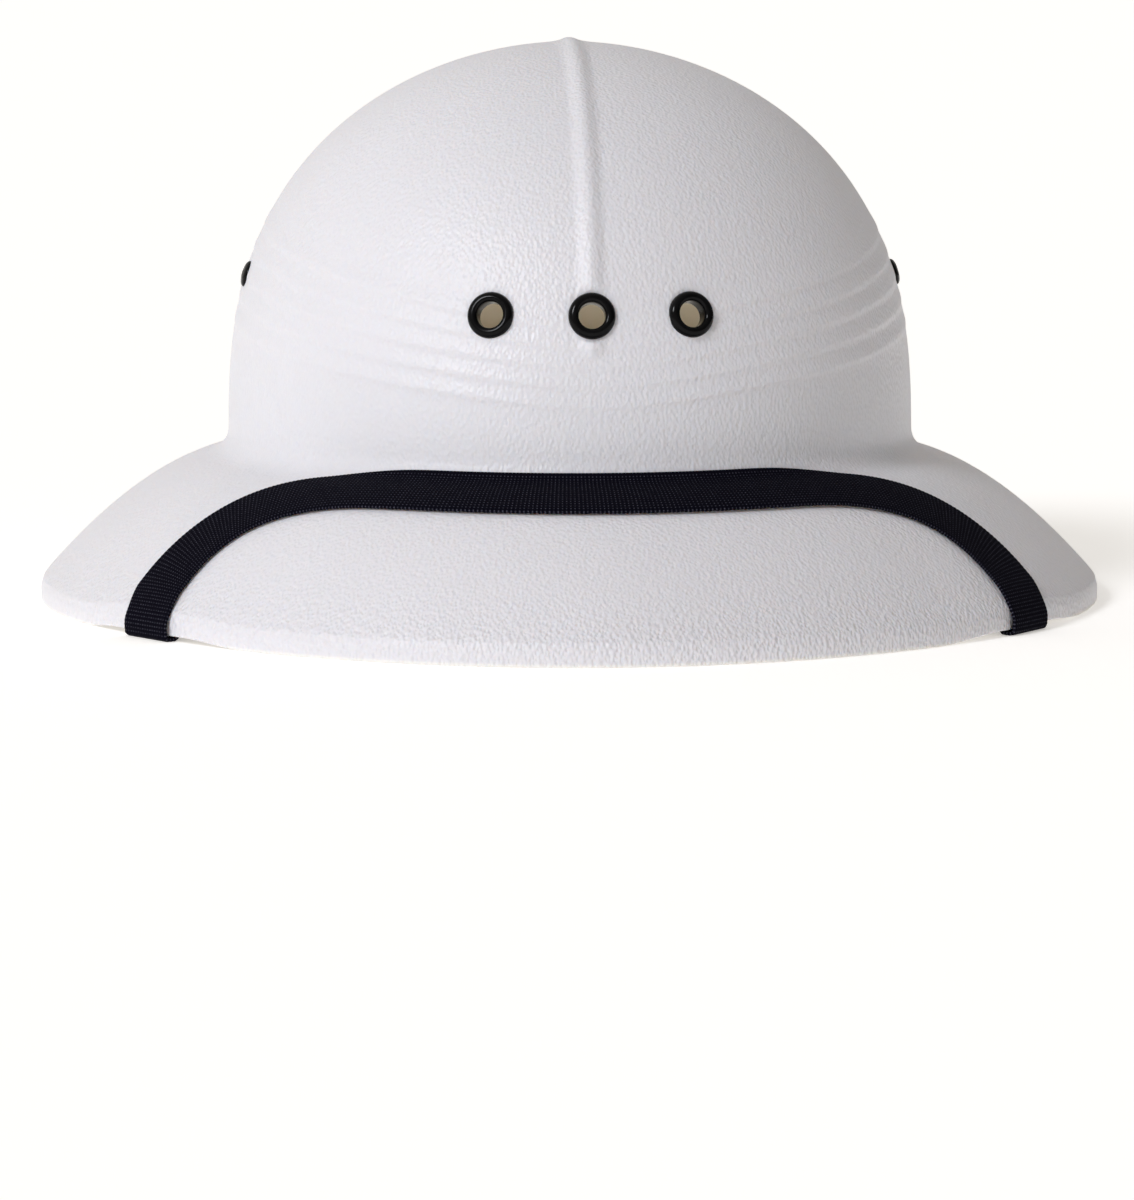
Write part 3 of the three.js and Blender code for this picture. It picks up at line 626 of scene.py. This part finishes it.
def make_shell():
    angle = shell_angles()
    outside = outer_rows(angle)
    rows = [*outside, *edge_rows(angle), *inner_rows(angle)]
    top = (0, PLAN_SHIFT, CROWN_TOP + RIDGE_HEIGHT)
    hollow_top = (0, PLAN_SHIFT, CROWN_TOP - SHELL_WALL)
    points = np.concatenate([*rows, [top, hollow_top]])
    faces = grid_faces(len(rows), COLUMNS).tolist()
    first, last = 0, (len(rows) - 1) * COLUMNS
    for k in range(COLUMNS):
        after = (k + 1) % COLUMNS
        faces.append([len(points) - 2, first + k, first + after])
        faces.append([len(points) - 1, last + after, last + k])
    looks = [shell_outside, shell_inside]
    shell = make_piece("helmet_shell", points, faces, looks, None, None)
    inside_from = (len(outside) + len(EDGE_TURNS)) * COLUMNS
    row_of = np.arange(len(faces))
    inside = (row_of >= inside_from) & (row_of < last)
    inside[len(faces) - 2 * COLUMNS + 1 :: 2] = True
    shell.data.polygons.foreach_set("material_index", inside.astype(np.int32))
    cutter = cutters()
    holes = shell.modifiers.new("holes", "BOOLEAN")
    holes.object = cutter
    holes.operation = "DIFFERENCE"
    holes.solver = "MANIFOLD"
    evaluated = shell.evaluated_get(bpy.context.evaluated_depsgraph_get())
    cut = bpy.data.meshes.new_from_object(evaluated)
    shell.modifiers.clear()
    shell.data = cut
    cut.shade_smooth()
    cut.set_sharp_from_angle(angle=SHARP)
    bpy.data.objects.remove(cutter)
    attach(shell, "root")
    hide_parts("shell_crown", "shell_brim")


make_shell()


# Grommets: a rolled face outside, a tube through the wall and a rolled edge inside
def grommet_profile():
    hole, flange, curl, tube = (width / 2 for width in (VENT_HOLE, VENT_FLANGE, VENT_CURL, VENT_TUBE))
    inside = -SHELL_WALL - 0.0004
    profile = []
    for turn in np.linspace(0, math.pi, 22):
        across = ((1 - math.cos(turn)) / 2) ** 1.25
        profile.append((hole + (flange - hole) * across, VENT_RISE * math.sin(turn) ** 0.9))
    profile += [(flange, -VENT_SINK), (tube, -VENT_SINK), (tube, inside)]
    for turn in np.linspace(math.pi, 0, 14):
        across = (1 - math.cos(turn)) / 2
        profile.append((hole + (curl - hole) * across, inside - VENT_CURL_RISE * math.sin(turn)))
    return profile


for name, turn in (("left", -1), ("centre", 0), ("right", 1)):
    place = crown_place(turn * VENT_SPREAD, VENT_HEIGHT)
    node = f"vent_grommet_{name}"
    turned(f"grommet_{name}", grommet_profile(), place, [enamel], "black_enamel", [node], 96, closed=True)


# Rivets and studs: domed heads on a shank
def dome(radius, base, rise, steps=12, power=0.8):
    turns = np.linspace(0, math.pi / 2, steps)
    return [(radius * math.sin(turn) ** power, base + rise * math.cos(turn)) for turn in turns]


def rivet_profile():
    head, shank, dimple = RIVET_HEAD / 2, RIVET_SHANK / 2, RIVET_DIMPLE / 2
    inside = -(SHELL_WALL + HANGER_GAP + HANGER_WALL + 0.0001)
    floor = RIVET_RISE - RIVET_DIMPLE_DEPTH
    profile = [(0, floor), (dimple * 0.6, floor + 0.00004), (dimple * 0.9, floor + 0.00025)]
    profile += [point for point in dome(head, 0, RIVET_RISE) if point[0] > dimple]
    profile += [(head, -RIVET_SINK), (shank, -RIVET_SINK), (shank, inside), (head, inside)]
    foot = dome(head, inside, RIVET_FOOT_RISE)[::-1]
    profile += [(radius, 2 * inside - height) for radius, height in foot]
    return profile


def stud_profile(wall, strips):
    head, shank = STUD_HEAD / 2, STUD_SHANK / 2
    outside = wall + 2 * GAP
    inside = -(strips * (BAND_WALL + GAP) + GAP)
    profile = [*dome(head, outside, STUD_RISE, 10, 0.5), (shank, outside), (shank, inside)]
    foot = dome(head, inside, STUD_RISE, 10, 0.5)[::-1]
    return profile + [(radius, 2 * inside - height) for radius, height in foot]


# Headband: the front strip outside, the rear strip inside
def band_point(angle, height, out):
    lean = BAND_LEAN * (height - BAND_BOTTOM) / BAND_HEIGHT
    return plan_point(grow(BAND, out - lean), angle, height)


def band_normal(angle):
    normal = plan_outward(BAND, angle) * BAND_HEIGHT + np.array([0, 0, BAND_LEAN])
    return normal / np.linalg.norm(normal)


def band_place(angle, height):
    return place_at(band_point(np.float64(angle), height, 0.0), band_normal(np.float64(angle)))


def strip_section(width, wall, steps=4):
    """Loop round a strip's section: across its width, then through its wall, with round corners."""
    round_by = 0.45 * wall
    loop = []
    for quarter, (side, face) in enumerate(((1, 1), (-1, 1), (-1, -1), (1, -1))):
        for turn in np.linspace(0, math.pi / 2, steps) + quarter * math.pi / 2:
            middle_a = side * (width / 2 - round_by)
            middle_b = face * (wall / 2 - round_by)
            loop.append((middle_a + round_by * math.cos(turn), middle_b + round_by * math.sin(turn)))
    return np.array(loop)


def end_share(distance, half, corner):
    """How much of its half width a strip has left, this far from an end with round corners."""
    into = np.clip(distance, 0, corner)
    return (half - corner + np.sqrt(corner**2 - (corner - into) ** 2)) / half


def loft_piece(name, rings, looks, slot, replaced, **options):
    count, size = rings.shape[:2]
    faces = grid_faces(count, size).tolist()
    faces.append(list(range(size)))
    faces.append(list(range((count - 1) * size, count * size))[::-1])
    return make_piece(name, rings, faces, looks, slot, replaced, **options)


def band_strip(name, out, start, stop, node):
    ease = (1 - np.cos(np.linspace(0, math.pi, 170))) / 2
    angles = start + (stop - start) * ease
    middle = band_point(angles, BAND_BOTTOM, out)
    run = run_along(middle)
    left = end_share(np.minimum(run, run[-1] - run), BAND_HEIGHT / 2, BAND_CORNER)
    rings = []
    for angle, share in zip(angles, left):
        section = strip_section(BAND_HEIGHT * share, BAND_WALL)
        heights = BAND_BOTTOM + BAND_HEIGHT / 2 + section[:, 0]
        depths = out - BAND_WALL / 2 + section[:, 1]
        rings.append(band_point(np.full(len(section), angle), heights, depths))
    loft_piece(name, np.array(rings), [band_look], "band_plastic", [node])


band_strip("headband_outer_strip", 0.0, -BAND_FRONT_END, BAND_FRONT_END, "headband_front")
band_rear_stop = 2 * math.pi - BAND_REAR_START
band_strip("headband_inner_strip", -BAND_WALL - GAP, BAND_REAR_START, band_rear_stop, "headband_rear")


# Hangers: flat on the shell round the rivet, then down the band's outer face
def rounded_path(points, times=3):
    for _ in range(times):
        near = points[:-1] * 0.75 + points[1:] * 0.25
        far = points[:-1] * 0.25 + points[1:] * 0.75
        inner = np.stack([near, far], 1).reshape(-1, points.shape[1])
        points = np.concatenate([points[:1], inner[1:-1], points[-1:]])
    return points


def hanger(side):
    angle = side * RIVET_ANGLE
    place = crown_place(angle, RIVET_HEIGHT)
    rivet, out = np.array(place.translation), np.array(place.col[2][:3])
    across = plan_tangent(BAND, np.float64(angle))
    uphill = np.cross(out, across)
    uphill *= np.sign(uphill[2]) / np.linalg.norm(uphill)
    flat = rivet - out * (SHELL_WALL + HANGER_GAP + HANGER_WALL / 2)
    normal = band_normal(np.float64(angle))
    on_band = [
        band_point(np.float64(angle), height, 0.0) + normal * (GAP + HANGER_WALL / 2)
        for height in (BAND_BOTTOM + BAND_HEIGHT, BAND_BOTTOM + HANGER_FOOT)
    ]
    path = rounded_path(np.array([flat + uphill * HANGER_REACH, flat - uphill * HANGER_REACH, *on_band]))
    run = run_along(path)
    fine = np.linspace(0, run[-1], 60)
    path = np.stack([np.interp(fine, run, path[:, k]) for k in range(3)], 1)
    tangent = np.gradient(path, axis=0)
    facing = np.cross(across, tangent)
    facing /= np.linalg.norm(facing, axis=1, keepdims=True)
    left = end_share(np.minimum(fine, fine[-1] - fine), HANGER_WIDTH / 2, HANGER_CORNER)
    rings = []
    for spot, face, share in zip(path, facing, left):
        section = strip_section(HANGER_WIDTH * share, HANGER_WALL)
        rings.append(spot + across * section[:, :1] + face * section[:, 1:])
    return np.array(rings)


for name, side in (("left", -1), ("right", 1)):
    rivet_place = crown_place(side * RIVET_ANGLE, RIVET_HEIGHT)
    turned(f"rivet_{name}", rivet_profile(), rivet_place, [enamel], "black_enamel", [f"side_rivet_{name}"])
    loft_piece(f"hanger_{name}", hanger(side), [band_look], "band_plastic", [f"side_hanger_{name}"])
    place = band_place(side * RIVET_ANGLE, BAND_BOTTOM + HANGER_STUD_UP)
    profile = stud_profile(HANGER_WALL, 2)
    turned(f"band_stud_{name}", profile, place, [band_look], "band_plastic", [f"hanger_stud_{name}"])
    place = band_place(side * STRAP_ANCHOR, BAND_BOTTOM + STRAP_STUD_UP)
    profile = stud_profile(STRAP_WALL, 1)
    turned(f"webbing_stud_{name}", profile, place, [enamel], "black_enamel", [f"strap_stud_{name}"])


# Chin strap: rings of points through its middle, worked out for the +X side and mirrored
STRAP_LIFT = STRAP_GAP + STRAP_WALL / 2
ACROSS = np.array([-1, -0.995, -0.975, -0.945, -0.86, -0.7, -0.45, -0.2, 0])
ACROSS = np.concatenate([ACROSS, -ACROSS[-2::-1]])


def on_brim(x, y):
    y = y - PLAN_SHIFT
    low, high = np.zeros_like(x), np.ones_like(x)
    for _ in range(40):
        middle = (low + high) / 2
        plan = mixed(CROWN, RIM, middle)
        depth = np.where(y < 0, plan[..., 1], plan[..., 2])
        outside = (x / plan[..., 0]) ** 2 + (y / depth) ** 2 > 1
        low, high = np.where(outside, middle, low), np.where(outside, high, middle)
    return np.arctan2(x / plan[..., 0], -y / depth), low


def strap_route():
    beside = grow(CROWN, STRAP_STANDOFF)
    start = plan_point(beside, STRAP_LEAVES, 0.0)
    end = plan_point(grow(RIM, -LIP_ROUND), STRAP_WRAPS, 0.0)
    length = np.linalg.norm(end - start)
    leaving = start + plan_tangent(beside, STRAP_LEAVES) * length * SWEEP_LEAVING
    arriving = end - plan_outward(RIM, STRAP_WRAPS) * length * SWEEP_ARRIVING
    share = np.linspace(0, 1, 40)[:, None]
    rest = 1 - share
    sweep = rest**3 * start + 3 * rest**2 * share * leaving + 3 * rest * share**2 * arriving + share**3 * end
    round_crown = plan_point(beside, np.linspace(0, STRAP_LEAVES, 30)[:-1], 0.0)
    return smoothed(np.concatenate([round_crown, sweep]))


def smoothed(route):
    """The route at even distances, with its turns eased but for the last stretch to the rim."""
    run = run_along(route)
    even = np.linspace(0, run[-1], 90)
    whole_run = np.concatenate([-run[:0:-1], run])
    whole = np.concatenate([route[:0:-1] * (-1, 1, 1), route])
    reach = np.linspace(-1, 1, 21) * EASE_REACH * smoothstep((run[-1] - even) / (2 * EASE_REACH))[:, None]
    weight = 1 - np.linspace(-1, 1, 21) ** 2
    weight /= weight.sum()
    spots = even[:, None] + reach
    return np.stack([np.interp(spots, whole_run, whole[:, k]) @ weight for k in range(3)], 1)


def rings_on_brim(route):
    ahead = np.gradient(route, axis=0)
    ahead[0] = (1, 0, 0)
    angle, share = on_brim(route[:, 0], route[:, 1])
    normal = normal_of(brim_point, angle, share)
    along = ahead - normal * np.sum(ahead * normal, 1, keepdims=True)
    along /= np.linalg.norm(along, axis=1, keepdims=True)
    across = np.cross(normal, along)
    spots = route[:, None] + across[:, None] * (ACROSS * STRAP_WIDTH / 2)[:, None]
    angle, share = on_brim(spots[..., 0], spots[..., 1])
    share = np.clip(share, STEP, 1 - STEP)
    return brim_point(angle, share) + normal_of(brim_point, angle, share) * STRAP_LIFT


def ring_at(middle, across):
    return middle + across * (ACROSS * STRAP_WIDTH / 2)[:, None]


def rings_round_rim():
    outward = plan_outward(RIM, STRAP_WRAPS)
    across = np.cross((0, 0, 1), outward)
    lift = STRAP_WALL + STRAP_GAP
    face = LIP_HEIGHT - LIP_ROUND + lift
    spots = [(STRAP_LIFT - 0.42 * LIP_ROUND, face + 1.12 * LIP_ROUND), (STRAP_LIFT, face)]
    for inset, tilts in ((0, (0, -22, -45, -68, -90)), (SHELL_WALL, (-90, -104, -118))):
        for tilt in np.radians(tilts):
            spots.append((STRAP_LIFT * math.cos(tilt) - inset, lift + STRAP_LIFT * math.sin(tilt)))
    return [ring_at(plan_point(RIM, STRAP_WRAPS, up) + outward * out, across) for out, up in spots]


def rings_to_band(start):
    rim_across = np.cross((0, 0, 1), plan_outward(RIM, STRAP_WRAPS))
    outward = plan_outward(BAND, STRAP_ANCHOR)
    across = np.cross((0, 0, 1), outward)
    off = band_normal(np.float64(STRAP_ANCHOR)) * (GAP + STRAP_WALL / 2)

    def on_band(up):
        return band_point(np.float64(STRAP_ANCHOR), BAND_BOTTOM + up, 0.0) + off

    end = on_band(STRAP_BEND)
    below = on_band(-STRAP_BEND) + outward * STRAP_BEND
    bowed = (start + below) / 2 + np.array([0, 0, STRAP_BOW])
    knots = np.array([start, bowed, below, end])
    at = run_along(knots)
    rings = []
    for share in np.linspace(0, 1, 13)[1:]:
        sideways = rim_across * (1 - share) + across * share
        sideways /= np.linalg.norm(sideways)
        rings.append(ring_at(smooth_through(knots, at, np.array([share * at[-1]]))[0], sideways))
    for up in STRAP_KNOTS_UP:
        rings.append(ring_at(on_band(up), across))
    return rings


def smooth_through(points, at, new_at):
    """Smooth curve through points given at distances, read at new distances."""
    pieces = np.diff(points, axis=0) / np.diff(at).reshape(-1, *[1] * (points.ndim - 1))
    slopes = np.concatenate([pieces[:1], (pieces[:-1] + pieces[1:]) / 2, pieces[-1:]])
    k = np.clip(np.searchsorted(at, new_at) - 1, 0, len(at) - 2)
    span = at[k + 1] - at[k]
    shape = (-1, *[1] * (points.ndim - 1))
    t, span = ((new_at - at[k]) / span).reshape(shape), span.reshape(shape)
    return (
        points[k] * (2 * t**3 - 3 * t**2 + 1)
        + slopes[k] * span * (t**3 - 2 * t**2 + t)
        + points[k + 1] * (3 * t**2 - 2 * t**3)
        + slopes[k + 1] * span * (t**3 - t**2)
    )


def make_strap():
    brim = rings_on_brim(strap_route())
    rim = rings_round_rim()
    half = np.array([*brim, *rim, *rings_to_band(rim[-1].mean(0))])
    whole = np.concatenate([half[:0:-1] * (-1, 1, 1), half])
    middle = whole[:, len(ACROSS) // 2]
    at = run_along(middle)
    stations = int(at[-1] / RIB_PITCH * 4)
    along = np.linspace(0, at[-1], stations)
    surface = smooth_through(whole, at, along)
    normal = np.cross(np.gradient(surface, axis=0), np.gradient(surface, ACROSS, axis=1))
    normal /= np.linalg.norm(normal, axis=-1, keepdims=True)
    into = np.clip((np.abs(ACROSS) - STRAP_EDGE) / (1 - STRAP_EDGE), 0, 1)
    fullness = np.sqrt(1 - into**2)
    rib = RIB_RISE * (0.5 + 0.5 * np.cos(2 * math.pi * along / RIB_PITCH))
    half_wall = fullness * (STRAP_WALL / 2 - RIB_RISE + rib[:, None])
    outer = surface + normal * half_wall[..., None]
    inner = surface - normal * half_wall[..., None]
    rings = np.concatenate([outer, inner[:, ::-1]], 1)
    rings[..., 2] = np.maximum(rings[..., 2], 0)
    sides = np.concatenate([ACROSS, ACROSS[::-1]]) * STRAP_WIDTH / 2
    fields = {
        "along": np.repeat(along, len(sides)),
        "across": np.tile(sides, stations),
    }
    loft_piece("webbing_strap", rings, [strap_look], "strap_webbing", ["chin_strap"], fields=fields)


make_strap()

# Stage: a pale floor, soft light from the left front and a bright backdrop
SUN_STRENGTH = 1.7
SUN_SIZE = math.radians(16)
SUN_FROM = (math.radians(-45), math.radians(33))  # azimuth and height
SKY_STRENGTH = (0.0, 0.5)  # behind at the right and in front at the left
SKY_FROM = (-0.88, -0.48, 0)
BACKDROP_STRENGTH = 0.5
BACKDROP_FROM = (-0.1, 0.8, 0.59)
SUN_COLOR = (0.94, 0.955, 1.0)
FILL_COLOR = (1.0, 0.965, 0.915, 1)
FLOOR_GLOW = 0.4
FLOOR_REACH = 60.0

floor_look = Look("floor", (0.85, 0.85, 0.85), 0.9, **{"Emission Strength": FLOOR_GLOW})
floor_look.set(floor_look.shader, {"Emission Color": FILL_COLOR})
floor_mesh = bpy.data.meshes.new("floor")
corners = [(x * FLOOR_REACH, y * FLOOR_REACH, 0) for x, y in ((-1, -1), (1, -1), (1, 1), (-1, 1))]
floor_mesh.from_pydata(corners, [], [(0, 1, 2, 3)])
floor_mesh.materials.append(floor_look.material)
floor = bpy.data.objects.new("floor", floor_mesh)
bpy.context.scene.collection.objects.link(floor)


def direction(azimuth, height):
    level = math.cos(height)
    return Vector((math.sin(azimuth) * level, -math.cos(azimuth) * level, math.sin(height)))


sun = bpy.data.lights.new("sun", "SUN")
sun.energy = SUN_STRENGTH
sun.angle = SUN_SIZE
sun.color = SUN_COLOR
sun_object = bpy.data.objects.new("sun", sun)
sun_object.rotation_euler = direction(*SUN_FROM).to_track_quat("Z", "Y").to_euler()
bpy.context.scene.collection.objects.link(sun_object)

world = bpy.data.worlds.new("studio")
world.use_nodes = True
sky = world.node_tree.nodes["Background"]
sky.inputs["Color"].default_value = FILL_COLOR
nodes, links = world.node_tree.nodes, world.node_tree.links
place = nodes.new("ShaderNodeTexCoord").outputs["Generated"]


def sky_part(source, least, low, high):
    toward = nodes.new("ShaderNodeVectorMath")
    toward.operation = "DOT_PRODUCT"
    toward.inputs[1].default_value = source
    fade = nodes.new("ShaderNodeMapRange")
    links.new(place, toward.inputs[0])
    links.new(toward.outputs["Value"], fade.inputs["Value"])
    fade.inputs["From Min"].default_value = least
    fade.inputs["To Min"].default_value = low
    fade.inputs["To Max"].default_value = high
    return fade.outputs["Result"]


total = nodes.new("ShaderNodeMath")
links.new(sky_part(SKY_FROM, -1, *SKY_STRENGTH), total.inputs[0])
links.new(sky_part(BACKDROP_FROM, 0, 0, BACKDROP_STRENGTH), total.inputs[1])
links.new(total.outputs["Value"], sky.inputs["Strength"])
bpy.context.scene.world = world
bpy.context.scene.view_settings.view_transform = "Standard"

# Camera at the photograph's side angle, a little above the floor
CAMERA_AZIMUTH = math.radians(-3.3)
CAMERA_HEIGHT = math.radians(4)
CAMERA_DISTANCE = 1.5
CAMERA_AIM = math.radians(-7.15)
FOCAL_PIXELS = 5170
LONG_SIDE_PIXELS = 1200
SENSOR = 36.0
camera = bpy.data.cameras.new("camera")
camera.sensor_width = SENSOR
camera.lens = FOCAL_PIXELS * SENSOR / LONG_SIDE_PIXELS
camera.clip_end = 200.0
camera_object = bpy.data.objects.new("camera", camera)
middle = Vector((0, 0, CROWN_TOP / 2))
camera_object.location = middle + direction(CAMERA_AZIMUTH, CAMERA_HEIGHT) * CAMERA_DISTANCE
camera_object.rotation_euler = (math.pi / 2 + CAMERA_AIM, 0, CAMERA_AZIMUTH)
bpy.context.scene.collection.objects.link(camera_object)
bpy.context.scene.camera = camera_object
